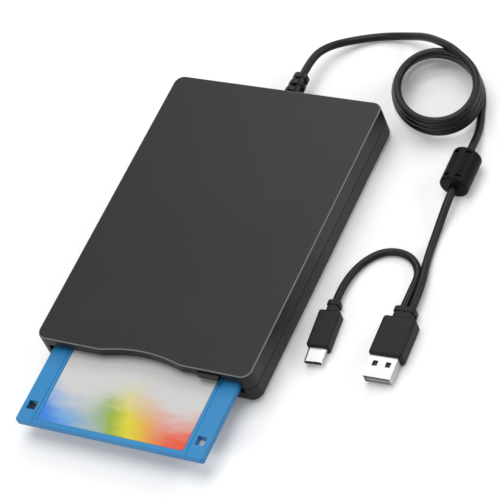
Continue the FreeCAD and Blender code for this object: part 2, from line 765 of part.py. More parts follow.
def coil_tangent(turned):
    """The coil's direction at a point; its two ends leave level."""
    step = 0.001
    way = coil_point(turned + step) - coil_point(turned - step)
    if min(turned, coil_length() - turned) < step:
        way.z = 0
    return unit(way)


def biarc(p0, t0, p1, t1):
    """Two arcs that join two points with the given directions."""
    span = p1 - p0
    both = t0 + t1
    k = 2 * (1 - t0.dot(t1))
    d = (-span.dot(both) + math.sqrt(span.dot(both) ** 2 + k * span.dot(span))) / k
    q0, q1 = p0 + t0 * d, p1 - t1 * d
    joint = (q0 + q1) * 0.5
    return [arc_by_corner(p0, q0, joint), arc_by_corner(joint, q1, p1)]


def arc_by_corner(start, corner, end):
    a, b = unit(start - corner), unit(end - corner)
    turn = math.pi - math.acos(max(-1, min(1, a.dot(b))))
    radius = (start - corner).Length / math.tan(turn / 2)
    middle = corner + unit(a + b) * (radius / math.cos(turn / 2) - radius)
    return Part.Arc(start, middle, end).toShape()


def coil_ends():
    """Where the coil's straight ends meet the lead and the drop, and their directions."""
    t0, t1 = coil_tangent(0.0), coil_tangent(coil_length())
    return coil_point(0.0) - t0 * cord_diameter, t0, coil_point(coil_length()) + t1 * cord_diameter, t1


def cord_coil():
    """Three loose oval turns that lie one on another at the near side and fan out at the far side."""
    total = coil_length()
    count = coil_arcs
    stops = [total * i / count for i in range(count + 1)]
    start, t0, end, t1 = coil_ends()
    edges = [Part.LineSegment(start, coil_point(0.0)).toShape()]
    for a, b in zip(stops, stops[1:]):
        edges += biarc(coil_point(a), coil_tangent(a), coil_point(b), coil_tangent(b))
    edges.append(Part.LineSegment(coil_point(total), end).toShape())
    path = Part.Wire(edges)
    solid = swept(path, (start.x, start.y, start.z), t0, cord_diameter)
    print("coil length %.1f volume ratio %.4f least gap %.2f" % (
        path.Length, solid.Volume / (math.pi * cord_z ** 2 * path.Length), least_gap(edges)))
    return solid


def least_gap(edges):
    """The least clear space between turns, measured on points of the middle line."""
    points, at, run = [], [], 0.0
    for edge in edges:
        count = max(2, int(edge.Length / 1.0))
        pts = edge.discretize(count + 1)
        for i, p in enumerate(pts[:-1]):
            points.append(p)
            at.append(run + edge.Length * i / count)
        run += edge.Length
    gaps = [(p - q).Length for i, p in enumerate(points) for j, q in enumerate(points)
            if at[j] - at[i] > 6 * cord_diameter]
    return min(gaps) - cord_diameter


relief_exit = (relief_x, back_y + relief_length, relief_z)
lead_route = [
    relief_exit,
    (relief_x, back_y + relief_length + 10.0, relief_z),
    (5.6, 127.6, 7.0),
    (13.5, 135.2, 3.6),
    (25.0, 140.8, 1.9),
    (38.0, 141.6, 3.4),
    (51.0, 138.2, 9.0),
]
lead_drop = [
    (bead_x, bead_y + 13.7, bead_z),
    (bead_x, bead_y - 13.7, bead_z),
    (91.9, 43.0, cord_z),
    (93.4, 26.5, cord_z + 0.1),
    (97.2, 13.0, plug_a_inlet.z),
]
tail_route = [
    (93.5, 10.4, 3.0),
    (92.9, 20.6, 2.0),
    (85.2, 28.4, tail_diameter / 2),
    (74.0, 28.6, tail_diameter / 2),
    (66.0, 20.8, tail_diameter / 2 + 0.1),
]


def lead_points():
    start, t0, _, _ = coil_ends()
    before = start - t0 * 9.0
    return lead_route + [(before.x, before.y, before.z), (start.x, start.y, start.z)]


def drop_points():
    """From the coil through the ferrite bead to the larger plug."""
    _, _, end, t1 = coil_ends()
    after = end + t1 * drop_straight
    x, y, z = plug_a_inlet
    return [(end.x, end.y, end.z), (after.x, after.y, after.z)] + lead_drop + [(x + plug_a_spread, y, z)]


def tail_points():
    """The short branch between the two plugs."""
    x, y, z = plug_a_inlet
    turn = math.radians(plug_c_turn)
    end = plug_c_inlet
    before = (end.x - 9.0 * math.sin(turn), end.y + 9.0 * math.cos(turn), end.z)
    return [(x - plug_a_spread, y, z)] + tail_route + [before, (end.x, end.y, end.z)]


def bead_half(upper):
    """Half of the snap-on case, with its end collars and clip slots."""
    y0, y1 = bead_y - bead_length / 2, bead_y + bead_length / 2
    case = rod(bead_radius, (bead_x, y0, bead_z), (bead_x, y1, bead_z))
    case = case.makeFillet(0.9, [e for e in case.Edges if e.Closed])
    case = case.cut(rod(bead_radius - 1.2, (bead_x, y0 + 1.2, bead_z), (bead_x, y1 - 1.2, bead_z)))
    case = case.cut(rod(bead_bore, (bead_x, y0 - 1, bead_z), (bead_x, y1 + 1, bead_z)))
    for y in (y0 + 1.8, y1 - 3.2):
        for x in (bead_x - 2.6, bead_x + 2.6):
            case = case.cut(box(x - 1.1, x + 1.1, y, y + 1.4, bead_z, bead_z + 8))
    low, high = (bead_z, bead_z + 8) if upper else (bead_z - 8, bead_z)
    half = case.common(box(bead_x - 9, bead_x + 9, y0 - 1, y1 + 1, low, high))
    if upper:
        return half
    return half.cut(box(bead_x - 9, bead_x + 9, y0 - 1, y1 + 1, -1, 0.25))


def bead_core():
    y0, y1 = bead_y - bead_length / 2 + 1.4, bead_y + bead_length / 2 - 1.4
    core = rod(bead_radius - 1.5, (bead_x, y0, bead_z), (bead_x, y1, bead_z))
    return core.cut(rod(bead_bore, (bead_x, y0 - 1, bead_z), (bead_x, y1 + 1, bead_z)))


# Plugs, drawn pointing along -Y from their cord's inlet and then set in place
def set_in_place(shape, turn, inlet):
    shape.rotate(V(0, 0, 0), V(0, 0, 1), turn)
    shape.translate(inlet)
    return shape


def overmold(relief, body, width, height, neck):
    """A soft moulded grip with rounded edges, and a plain neck with a thicker collar where it starts."""
    grip = box(-width / 2, width / 2, -relief - body, -relief, -height / 2, height / 2)
    grip = grip.makeFillet(height * 0.2, grip.Edges)
    neck_height = height * 0.72
    block = box(-neck / 2, neck / 2, -relief - 1.5, 0, -neck_height / 2, neck_height / 2)
    block = block.makeFillet(neck_height * 0.25, along_y(block))
    side = neck / 2 + 0.45
    rise = neck_height / 2 + 0.35
    collar = box(-side, side, -relief * 0.45, -0.4, -rise, rise)
    collar = collar.makeFillet(rise * 0.5, along_y(collar))
    return fuse(grip, block, collar)


def along_y(block):
    """The straight edges that run along Y."""
    return [e for e in block.Edges if abs(e.Vertexes[0].Y - e.Vertexes[-1].Y) > 0.1]


def usb_a_overmold():
    body = overmold(a_relief, a_body, a_width, a_height, a_neck)
    body = body.cut(box(-a_shell_width / 2, a_shell_width / 2, -a_relief - a_body - 1,
                        -a_relief - a_body + 6, -a_shell_height / 2, a_shell_height / 2))
    return set_in_place(body, plug_a_turn, plug_a_inlet)


def usb_a_shell():
    """The folded sheet mouth with two square windows above and two below."""
    y1, y0 = -a_relief - a_body + 6, -a_relief - a_body - a_shell_length
    w, h = a_shell_width / 2, a_shell_height / 2
    shell = box(-w, w, y0, y1, -h, h)
    shell = shell.cut(box(-w + a_sheet, w - a_sheet, y0 - 1, y1 + 1, -h + a_sheet, h - a_sheet))
    for x in (-2.9, 2.9):
        shell = shell.cut(box(x - 1.15, x + 1.15, y0 + 5.2, y0 + 7.8, -h - 1, h + 1))
    return set_in_place(shell, plug_a_turn, plug_a_inlet)


def usb_a_tongue():
    """The plastic tongue with its four contacts under the shell's upper wall."""
    y1, y0 = -a_relief - a_body + 6, -a_relief - a_body - a_shell_length + 0.6
    w, h = a_shell_width / 2 - a_sheet, a_shell_height / 2 - a_sheet
    tongue = box(-w, w, y0, y1, -h, -h + 1.9)
    for i in range(4):
        x = -3.5 + i * 2.333
        tongue = fuse(tongue, box(x - 0.5, x + 0.5, y0 + 1, y1 - 2, -h + 1.8, -h + 2.05))
    return set_in_place(tongue, plug_a_turn, plug_a_inlet)


def oblong(width, height, y0, y1):
    r = height / 2 - 0.01
    block = box(-width / 2, width / 2, y0, y1, -height / 2, height / 2)
    return block.makeFillet(r, along_y(block))


def usb_c_overmold():
    body = overmold(c_relief, c_body, c_width, c_height, c_neck)
    y0 = -c_relief - c_body
    body = body.cut(oblong(c_shell_width, c_shell_height, y0 - 1, y0 + 4))
    return set_in_place(body, plug_c_turn, plug_c_inlet)


def usb_c_shell():
    y1, y0 = -c_relief - c_body + 4, -c_relief - c_body - c_shell_length
    shell = oblong(c_shell_width, c_shell_height, y0, y1)
    shell = shell.cut(oblong(c_shell_width - 0.6, c_shell_height - 0.6, y0 - 1, y1 - 0.6))
    return set_in_place(shell, plug_c_turn, plug_c_inlet)


def usb_c_tongue():
    """The lining of the mouth, open at its front."""
    y1, y0 = -c_relief - c_body + 3.4, -c_relief - c_body - c_shell_length + 0.5
    lining = oblong(c_shell_width - 0.7, c_shell_height - 0.7, y0, y1)
    lining = lining.cut(box(-3.1, 3.1, y0 - 1, y0 + 6.0, -0.45, 0.45))
    return set_in_place(lining, plug_c_turn, plug_c_inlet)


def main():
    save("top_cover", top_cover())
    save("bottom_cover", bottom_cover())
    save("feet", feet())
    save("case_screws", case_screws())
    save("chassis", chassis())
    save("slide_plate", slide_plate())
    save("eject_button", eject_button())
    save("disk_carrier", disk_carrier())
    save("ejector_slider", ejector_slider())
    save("disk_upper_shell", disk_shell(True))
    save("disk_lower_shell", disk_shell(False))
    save("write_protect_tab", write_protect_tab())
    save("disk_media", disk_media())
    save("disk_hub", disk_hub())
    save("disk_shutter", disk_shutter())
    save("disk_label", disk_label())
    save("motor_board", motor_board())
    save("stator", stator())
    save("spindle_bearing", spindle_bearing())
    save("spindle_rotor", spindle_rotor())
    save("head_carriage", carriage_block())
    save("lower_head", lower_head())
    save("upper_arm", upper_arm())
    save("upper_head", upper_head())
    save("guide_rod", guide_rod())
    save("rod_brackets", rod_brackets())
    save("stepper_motor", stepper_motor())
    save("lead_screw", lead_screw())
    save("screw_bearing", screw_bearing())
    save("main_board", main_board())
    save("usb_board", usb_board())
    save("ribbon_cable", ribbon_cable())
    save("strain_relief", strain_relief())
    save("cord_lead", tube("lead", lead_points(), cord_diameter))
    save("cord_coil", cord_coil())
    save("cord_drop", tube("drop", drop_points(), cord_diameter))
    save("cord_tail", tube("tail", tail_points(), tail_diameter))
    save("bead_case_upper", bead_half(True))
    save("bead_case_lower", bead_half(False))
    save("bead_core", bead_core())
    save("usb_a_overmold", usb_a_overmold())
    save("usb_a_shell", usb_a_shell())
    save("usb_a_tongue", usb_a_tongue())
    save("usb_c_overmold", usb_c_overmold())
    save("usb_c_shell", usb_c_shell())
    save("usb_c_tongue", usb_c_tongue())


main()
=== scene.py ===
import json
import math

import bmesh
import bpy
from mathutils import Matrix, Vector


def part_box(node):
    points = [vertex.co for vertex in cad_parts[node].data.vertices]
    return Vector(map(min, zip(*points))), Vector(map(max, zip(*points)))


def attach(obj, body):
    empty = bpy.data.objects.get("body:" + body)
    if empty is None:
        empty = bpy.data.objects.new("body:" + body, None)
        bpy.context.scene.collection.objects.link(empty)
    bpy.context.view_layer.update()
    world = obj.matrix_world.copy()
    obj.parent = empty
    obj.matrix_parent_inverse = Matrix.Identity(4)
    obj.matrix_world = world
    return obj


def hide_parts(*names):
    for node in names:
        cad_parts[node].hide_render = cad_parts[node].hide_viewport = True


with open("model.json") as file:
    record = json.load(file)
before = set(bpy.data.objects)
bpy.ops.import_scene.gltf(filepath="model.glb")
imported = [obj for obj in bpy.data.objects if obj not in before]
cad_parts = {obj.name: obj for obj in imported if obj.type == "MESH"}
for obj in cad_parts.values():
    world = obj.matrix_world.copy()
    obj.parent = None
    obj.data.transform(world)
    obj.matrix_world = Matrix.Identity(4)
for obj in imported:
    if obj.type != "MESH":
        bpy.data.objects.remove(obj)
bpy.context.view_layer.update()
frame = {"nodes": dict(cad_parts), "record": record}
nodes = frame["nodes"]

MM = 0.001
WHITE = (1.0, 1.0, 1.0, 1.0)

# Camera, at the photograph's viewing angle
CAMERA_PLACE = Vector((537.6, -512.0, 818.8)) * MM
CAMERA_TARGET = Vector((12.6, 18.4, 0.0)) * MM
CAMERA_ROLL = math.radians(26.4)
CAMERA_LENS = 187.25
SENSOR_WIDTH = 36.0
NEAR_CLIP = 0.05


def add_object(name, data):
    thing = bpy.data.objects.new(name, data)
    bpy.context.collection.objects.link(thing)
    return thing


def make_camera():
    data = bpy.data.cameras.new("camera")
    data.lens = CAMERA_LENS
    data.sensor_width = SENSOR_WIDTH
    data.clip_start = NEAR_CLIP
    camera = add_object("camera", data)
    look = (CAMERA_TARGET - CAMERA_PLACE).to_track_quat("-Z", "Y").to_matrix().to_4x4()
    turn = Matrix.Rotation(-CAMERA_ROLL, 4, "Z")
    camera.matrix_world = Matrix.Translation(CAMERA_PLACE) @ look @ turn
    bpy.context.scene.camera = camera


# Stage
WORLD_LIGHT = 0.38
WORLD_SEEN = 1.0
FLOOR_HALF = 3.0
FLOOR_GREY = (0.82, 0.82, 0.82, 1.0)
FLOOR_ROUGHNESS = 0.9
FLOOR_LIFT = 0.13
LAMPS = {
    "key": dict(place=(-0.10, 0.30, 2.20), target=(0.02, 0.02, 0), size=(1.6, 1.6), power=28.0),
    "back": dict(place=(-0.18, 0.62, 0.62), target=(0.0, 0.06, 0), size=(0.5, 0.25), power=1.3),
    "right_strip": dict(place=(0.80, 0.52, 0.50), target=(0.02, 0.02, 0.01), size=(0.9, 0.06), power=3.2),
    "front_strip": dict(place=(-0.50, -0.80, 0.52), target=(0.02, -0.05, 0.01), size=(0.9, 0.06), power=3.2),
}


def make_light(name, place, target, size, power):
    data = bpy.data.lights.new(name, "AREA")
    data.shape = "RECTANGLE"
    data.size, data.size_y = size
    data.energy = power
    light = add_object(name, data)
    light.location = place
    direction = Vector(target) - Vector(place)
    light.rotation_euler = direction.to_track_quat("-Z", "Y").to_euler()


def seen_directly(tree):
    """1 for the rays that show the background: from the camera, off gloss and through glass."""
    path = tree.nodes.new("ShaderNodeLightPath")
    mirrored = combine(tree, "MAXIMUM", path.outputs["Is Camera Ray"], path.outputs["Is Glossy Ray"])
    return combine(tree, "MAXIMUM", mirrored, path.outputs["Is Transmission Ray"])


def white_background(tree, strength):
    background = tree.nodes.new("ShaderNodeBackground")
    background.inputs["Color"].default_value = WHITE
    background.inputs["Strength"].default_value = strength
    return background


def make_world():
    """A white background that lights the object more softly than it shows."""
    world = bpy.data.worlds.new("studio")
    world.use_nodes = True
    tree = world.node_tree
    tree.nodes.clear()
    out = tree.nodes.new("ShaderNodeOutputWorld")
    mix = tree.nodes.new("ShaderNodeMixShader")
    tree.links.new(seen_directly(tree), mix.inputs[0])
    tree.links.new(white_background(tree, WORLD_LIGHT).outputs[0], mix.inputs[1])
    tree.links.new(white_background(tree, WORLD_SEEN).outputs[0], mix.inputs[2])
    tree.links.new(mix.outputs[0], out.inputs[0])
    bpy.context.scene.world = world


def floor_material():
    """A pale floor that shows white where it is lit and keeps the object's soft shadow."""
    mat = bpy.data.materials.new("pale_floor")
    mat.use_nodes = True
    tree = mat.node_tree
    shader = tree.nodes["Principled BSDF"]
    shader.inputs["Base Color"].default_value = FLOOR_GREY
    shader.inputs["Roughness"].default_value = FLOOR_ROUGHNESS
    shader.inputs["Specular IOR Level"].default_value = 0.0
    glow = tree.nodes.new("ShaderNodeEmission")
    glow.inputs["Color"].default_value = WHITE
    lift = combine(tree, "MULTIPLY", seen_directly(tree), FLOOR_LIFT)
    tree.links.new(lift, glow.inputs["Strength"])
    add = tree.nodes.new("ShaderNodeAddShader")
    tree.links.new(shader.outputs[0], add.inputs[0])
    tree.links.new(glow.outputs[0], add.inputs[1])
    tree.links.new(add.outputs[0], tree.nodes["Material Output"].inputs["Surface"])
    return mat


def make_stage():
    half = FLOOR_HALF
    corners = [(-half, -half, 0), (half, -half, 0), (half, half, 0), (-half, half, 0)]
    mesh = bpy.data.meshes.new("floor")
    mesh.from_pydata(corners, [], [(0, 1, 2, 3)])
    mesh.materials.append(floor_material())
    add_object("floor", mesh)
    make_world()
    for name, lamp in LAMPS.items():
        make_light(name, **lamp)


# Building blocks of the materials
MIX_FIRST, MIX_SECOND, MIX_COLOR = 6, 7, 2


def new_material(name, roughness, metallic=0.0, specular=0.5):
    mat = bpy.data.materials.new(name)
    mat.use_nodes = True
    shader = mat.node_tree.nodes["Principled BSDF"]
    shader.inputs["Roughness"].default_value = roughness
    shader.inputs["Metallic"].default_value = metallic
    shader.inputs["Specular IOR Level"].default_value = specular
    return mat, mat.node_tree, shader


def place_coordinates(tree, scale=(1.0, 1.0, 1.0)):
    coordinates = tree.nodes.new("ShaderNodeTexCoord")
    mapping = tree.nodes.new("ShaderNodeMapping")
    mapping.inputs["Scale"].default_value = scale
    tree.links.new(coordinates.outputs["Object"], mapping.inputs["Vector"])
    return mapping.outputs["Vector"]


def axes(tree, vector):
    split = tree.nodes.new("ShaderNodeSeparateXYZ")
    tree.links.new(vector, split.inputs["Vector"])
    return split.outputs


def noise(tree, vector, scale, detail=3.0):
    node = tree.nodes.new("ShaderNodeTexNoise")
    node.inputs["Scale"].default_value = scale
    node.inputs["Detail"].default_value = detail
    tree.links.new(vector, node.inputs["Vector"])
    return node.outputs["Fac"]


def ramp(tree, factor, stops):
    """A colour ramp from (place, colour) pairs."""
    node = tree.nodes.new("ShaderNodeValToRGB")
    band = node.color_ramp
    while len(band.elements) < len(stops):
        band.elements.new(0.5)
    for element, (place, color) in zip(band.elements, stops):
        element.position = place
        element.color = (*color, 1.0)
    tree.links.new(factor, node.inputs["Fac"])
    return node.outputs["Color"]


def map_to(tree, factor, low, high):
    """A factor from 0 to 1, spread over a range."""
    node = tree.nodes.new("ShaderNodeMapRange")
    node.inputs["To Min"].default_value = low
    node.inputs["To Max"].default_value = high
    tree.links.new(factor, node.inputs["Value"])
    return node.outputs["Result"]


def map_between(tree, value, low, high, interpolation="LINEAR"):
    """Where a value lies in a range, from 0 to 1."""
    node = tree.nodes.new("ShaderNodeMapRange")
    node.interpolation_type = interpolation
    node.inputs["From Min"].default_value = low
    node.inputs["From Max"].default_value = high
    tree.links.new(value, node.inputs["Value"])
    return node.outputs["Result"]


def combine(tree, operation, first, second):
    """A sum, product or the like of two numbers, each either fixed or from another node."""
    node = tree.nodes.new("ShaderNodeMath")
    node.operation = operation
    for socket, value in zip(node.inputs, (first, second)):
        if isinstance(value, float):
            socket.default_value = value
        else:
            tree.links.new(value, socket)
    return node.outputs[0]


def sine(tree, angle):
    return combine(tree, "SINE", angle, 0.0)


def blend(tree, factor, first, second_color):
    """The first colour, going over to a fixed one with the factor."""
    node = tree.nodes.new("ShaderNodeMix")
    node.data_type = "RGBA"
    tree.links.new(factor, node.inputs["Factor"])
    tree.links.new(first, node.inputs[MIX_FIRST])
    node.inputs[MIX_SECOND].default_value = (*second_color, 1.0)
    return node.outputs[MIX_COLOR]


def bump(tree, shader, height, strength, distance):
    node = tree.nodes.new("ShaderNodeBump")
    node.inputs["Strength"].default_value = strength
    node.inputs["Distance"].default_value = distance
    tree.links.new(height, node.inputs["Height"])
    tree.links.new(node.outputs["Normal"], shader.inputs["Normal"])


def tinted(color, share):
    return tuple(min(1.0, c * share) for c in color)


def two_tone(tree, factor, color, darker, lighter, stops=(0.3, 0.7)):
    """A colour that wavers between a darker and a lighter shade of itself."""
    shades = [tinted(color, darker), tinted(color, lighter)]
    return ramp(tree, factor, list(zip(stops, shades)))


# Plastics
DRIFT_SCALE, DRIFT_DETAIL = 22.0, 4.0
GLOSS_SCALE, GLOSS_DETAIL = 60.0, 5.0
GLOSS_BELOW, GLOSS_ABOVE = 0.05, 0.07
GRAIN_DETAIL = 2.0
GRAIN_STRENGTH = 0.35
CASE_BLACK = (0.0125, 0.0125, 0.013)
CASE_ROUGHNESS = 0.38
CASE_SPECULAR = 0.2
# Painted highlight on the case's rounded rim: its lighter grey, how much of it shows, and the bands of the
# normal's upward part where it rises and falls
HIGHLIGHT_PAINT_GREY = (0.22, 0.22, 0.22)
HIGHLIGHT_PAINT_SHARE = 0.75
HIGHLIGHT_PAINT_RISES = (0.30, 0.60)
HIGHLIGHT_PAINT_FALLS = (0.96, 0.80)


def moulded_plastic(name, color, roughness, grain=2600.0, depth=0.00002, spread=0.1, specular=0.25):
    """Moulded plastic with a fine spark grain, slight colour drift and uneven gloss."""
    mat, tree, shader = new_material(name, roughness, specular=specular)
    place = place_coordinates(tree)
    drift = noise(tree, place, DRIFT_SCALE, DRIFT_DETAIL)
    tree.links.new(two_tone(tree, drift, color, 1 - spread, 1 + spread), shader.inputs["Base Color"])
    smear = noise(tree, place, GLOSS_SCALE, GLOSS_DETAIL)
    gloss = map_to(tree, smear, roughness - GLOSS_BELOW, roughness + GLOSS_ABOVE)
    tree.links.new(gloss, shader.inputs["Roughness"])
    bump(tree, shader, noise(tree, place, grain, GRAIN_DETAIL), GRAIN_STRENGTH, depth)
    return mat


def case_plastic(name):
    """Spark-eroded plastic with a painted highlight: its thin rounded top rim is painted a lighter grey."""
    mat = moulded_plastic(name, CASE_BLACK, CASE_ROUGHNESS, specular=CASE_SPECULAR)
    tree = mat.node_tree
    color = tree.nodes["Principled BSDF"].inputs["Base Color"]
    # Painted highlight: where the normal leans between upright and level, on the rounded rim, the base
    # colour goes over to a lighter grey
    geometry = tree.nodes.new("ShaderNodeNewGeometry")
    upward = axes(tree, geometry.outputs["Normal"])["Z"]
    rising = map_between(tree, upward, *HIGHLIGHT_PAINT_RISES)
    falling = map_between(tree, upward, *HIGHLIGHT_PAINT_FALLS)
    painted_highlight = combine(tree, "MULTIPLY", combine(tree, "MULTIPLY", rising, falling), HIGHLIGHT_PAINT_SHARE)
    tree.links.new(blend(tree, painted_highlight, color.links[0].from_socket, HIGHLIGHT_PAINT_GREY), color)
    return mat


# Rubber
RUBBER_SPECULAR = 0.2
RUBBER_MOTTLE = 900.0
RUBBER_DARK, RUBBER_LIGHT = 0.8, 1.25
RUBBER_STOPS = (0.35, 0.65)
RUBBER_GRAIN = 1500.0
RUBBER_STRENGTH = 0.3
RUBBER_DEPTH = 0.00004


def rubber(name, color, roughness):
    mat, tree, shader = new_material(name, roughness, specular=RUBBER_SPECULAR)
    place = place_coordinates(tree)
    mottle = noise(tree, place, RUBBER_MOTTLE)
    shade = two_tone(tree, mottle, color, RUBBER_DARK, RUBBER_LIGHT, RUBBER_STOPS)
    tree.links.new(shade, shader.inputs["Base Color"])
    bump(tree, shader, noise(tree, place, RUBBER_GRAIN), RUBBER_STRENGTH, RUBBER_DEPTH)
    return mat


# Metals
DRAWN_SCALE = (60.0, 2500.0, 60.0)
DRAWN_DARK, DRAWN_LIGHT = 0.86, 1.08
DRAWN_BELOW, DRAWN_ABOVE = 0.06, 0.08
DRAWN_STRENGTH = 0.12
DRAWN_DEPTH = 0.00003


def metal(name, color, roughness):
    """Metal with a fine drawn grain and a slow change of tone."""
    mat, tree, shader = new_material(name, roughness, metallic=1.0)
    drawn = noise(tree, place_coordinates(tree, DRAWN_SCALE), 1.0)
    shade = two_tone(tree, drawn, color, DRAWN_DARK, DRAWN_LIGHT)
    tree.links.new(shade, shader.inputs["Base Color"])
    gloss = map_to(tree, drawn, roughness - DRAWN_BELOW, roughness + DRAWN_ABOVE)
    tree.links.new(gloss, shader.inputs["Roughness"])
    bump(tree, shader, drawn, DRAWN_STRENGTH, DRAWN_DEPTH)
    return mat


# Circuit board
BOARD_ROUGHNESS = 0.35
TRACK_SCALE = 260.0
TRACK_COLORS = [
    (0.00, (0.02, 0.2, 0.08)),
    (0.05, (0.012, 0.12, 0.05)),
    (1.00, (0.012, 0.11, 0.045)),
]
TRACK_STRENGTH = 0.2
TRACK_DEPTH = 0.00005


def circuit_board(name):
    """Green solder mask over a net of faint raised tracks."""
    mat, tree, shader = new_material(name, BOARD_ROUGHNESS)
    tracks = tree.nodes.new("ShaderNodeTexVoronoi")
    tracks.feature = "DISTANCE_TO_EDGE"
    tracks.inputs["Scale"].default_value = TRACK_SCALE
    tree.links.new(place_coordinates(tree), tracks.inputs["Vector"])
    distance = tracks.outputs["Distance"]
    tree.links.new(ramp(tree, distance, TRACK_COLORS), shader.inputs["Base Color"])
    bump(tree, shader, distance, TRACK_STRENGTH, TRACK_DEPTH)
    return mat


# The label's print: a plain design of soft curved bands over fine ruled lines, on pale grey paper
LABEL_GREY = (0.52, 0.52, 0.51)
LABEL_ROUGHNESS = 0.42
LABEL_SPECULAR = 0.3
LABEL_BANDS = [
    (0.00, (0.01, 0.16, 0.58)),
    (0.16, (0.08, 0.28, 0.60)),
    (0.30, (0.26, 0.36, 0.38)),
    (0.42, (0.24, 0.34, 0.02)),
    (0.55, (0.58, 0.52, 0.01)),
    (0.70, (0.62, 0.30, 0.02)),
    (0.86, (0.64, 0.06, 0.01)),
]
PRINT_LENGTH = 0.032
SWELL_TURN = 9.0
SWELL_SIZE = 0.14
BAND_LEAN = 0.22
BAND_START = 0.12
BRUSH_SCALE = (90.0, 260.0, 1.0)
BRUSH_ON_BANDS = 0.12
BRUSH_ON_FADE = 0.35
FADE_RANGE = (0.30, 0.95)
RULE_PITCH = 0.0009
RULE_RANGE = (0.2, 1.0)
RULE_SHARE = 0.10
RULE_WHITE = (0.75, 0.75, 0.72)
PAPER_SCALE, PAPER_DETAIL = 1800.0, 4.0
PAPER_STRENGTH = 0.15
PAPER_DEPTH = 0.00002


def label_print(tree, x, y):
    """The bands' colour, faded into the bare paper away from the disk's front edge."""
    low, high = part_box("disk_label")
    across = map_between(tree, x, low[0], high[0])
    along = map_between(tree, y, low[1], low[1] + PRINT_LENGTH)
    swell = sine(tree, combine(tree, "MULTIPLY", across, SWELL_TURN))
    ring = combine(tree, "ADD", along, combine(tree, "MULTIPLY", swell, SWELL_SIZE))
    where = combine(tree, "ADD", across, combine(tree, "MULTIPLY", ring, BAND_LEAN))
    brush = noise(tree, place_coordinates(tree, BRUSH_SCALE), 1.0)
    where = combine(tree, "ADD", where, combine(tree, "MULTIPLY", brush, BRUSH_ON_BANDS))
    bands = ramp(tree, combine(tree, "SUBTRACT", where, BAND_START), LABEL_BANDS)
    fade = combine(tree, "ADD", ring, combine(tree, "MULTIPLY", brush, BRUSH_ON_FADE))
    return blend(tree, map_between(tree, fade, *FADE_RANGE, "SMOOTHSTEP"), bands, LABEL_GREY)


def rule_lines(tree, y):
    """How much of the pale ruled lines shows at a place."""
    wave = sine(tree, combine(tree, "MULTIPLY", y, math.tau / RULE_PITCH))
    return combine(tree, "MULTIPLY", map_between(tree, wave, *RULE_RANGE), RULE_SHARE)


def label_paper(name):
    mat, tree, shader = new_material(name, LABEL_ROUGHNESS, specular=LABEL_SPECULAR)
    place = place_coordinates(tree)
    across, along, _ = axes(tree, place)
    printed = label_print(tree, across, along)
    tree.links.new(blend(tree, rule_lines(tree, along), printed, RULE_WHITE), shader.inputs["Base Color"])
    bump(tree, shader, noise(tree, place, PAPER_SCALE, PAPER_DETAIL), PAPER_STRENGTH, PAPER_DEPTH)
    return mat


# Each slot's material: its function and what that is given
MATERIALS = {
    "case_plastic": (case_plastic, {}),
    "button_plastic": (moulded_plastic, dict(color=(0.009, 0.009, 0.0095), roughness=0.36)),
    "foot_rubber": (rubber, dict(color=(0.03, 0.03, 0.03), roughness=0.8)),
    "screw_steel": (metal, dict(color=(0.45, 0.45, 0.46), roughness=0.35)),
    "sheet_steel": (metal, dict(color=(0.6, 0.61, 0.62), roughness=0.34)),
    "ground_steel": (metal, dict(color=(0.7, 0.7, 0.7), roughness=0.22)),
    "jacket_blue": (moulded_plastic, dict(color=(0.026, 0.205, 0.45), roughness=0.40, grain=1800.0,
                                          depth=0.00003, spread=0.06)),
    "tab_black": (moulded_plastic, dict(color=(0.012, 0.012, 0.012), roughness=0.5)),
    "media_film": (moulded_plastic, dict(color=(0.05, 0.03, 0.02), roughness=0.15)),
    "label_paper": (label_paper, {}),
    "board_green": (circuit_board, {}),
    "copper_winding": (metal, dict(color=(0.6, 0.28, 0.12), roughness=0.35)),
    "bronze": (metal, dict(color=(0.52, 0.38, 0.2), roughness=0.4)),
    "frame_plastic": (moulded_plastic, dict(color=(0.06, 0.06, 0.065), roughness=0.5)),
    "cord_rubber": (rubber, dict(color=(0.004, 0.004, 0.0044), roughness=0.30)),
    "bead_plastic": (moulded_plastic, dict(color=(0.003, 0.003, 0.0032), roughness=0.42, specular=0.08)),
    "ferrite": (metal, dict(color=(0.1, 0.1, 0.105), roughness=0.5)),
    "plug_rubber": (moulded_plastic, dict(color=(0.006, 0.006, 0.0064), roughness=0.42, specular=0.16)),
    "plug_shell": (metal, dict(color=(0.52, 0.52, 0.53), roughness=0.32)),
    # The white tongue is painted a mid grey: painted shade of the recess inside the plug
    "tongue_white": (moulded_plastic, dict(color=(0.3, 0.3, 0.3), roughness=0.4)),
    "tongue_black": (moulded_plastic, dict(color=(0.02, 0.02, 0.02), roughness=0.4)),
}
made = {}


def material(slot):
    if slot not in made:
        maker, settings = MATERIALS[slot]
        made[slot] = maker(slot, **settings)
    return made[slot]


def dress_nodes():
    for part in frame["record"]["subparts"]:
        node = nodes[part["node"]]
        node.data.materials.clear()
        node.data.materials.append(material(part["material_slot"]))


# Strain relief: a ribbed sleeve with slots between its ribs
RELIEF_X, RELIEF_BACK, RELIEF_Z = 2.0 * MM, 91.4 * MM, 9.4 * MM
RELIEF_LENGTH = 17.0 * MM
RELIEF_FIRST, RELIEF_LAST = 4.5 * MM, 3.7 * MM
RELIEF_CORE = 2.5 * MM
RELIEF_TIP = 1.95 * MM
RELIEF_RIBS = 4
RELIEF_RIM = 0.35 * MM
RIB_SHARE = 0.62
WEB_SINK = 0.5 * MM
WEB_STEP = 0.05 * MM
CORE_STEP = 0.1 * MM
RING_STEP = 0.02 * MM
RELIEF_STEPS = 48
SLOTS_ROUND = 4
SLOT_EDGE = 0.30


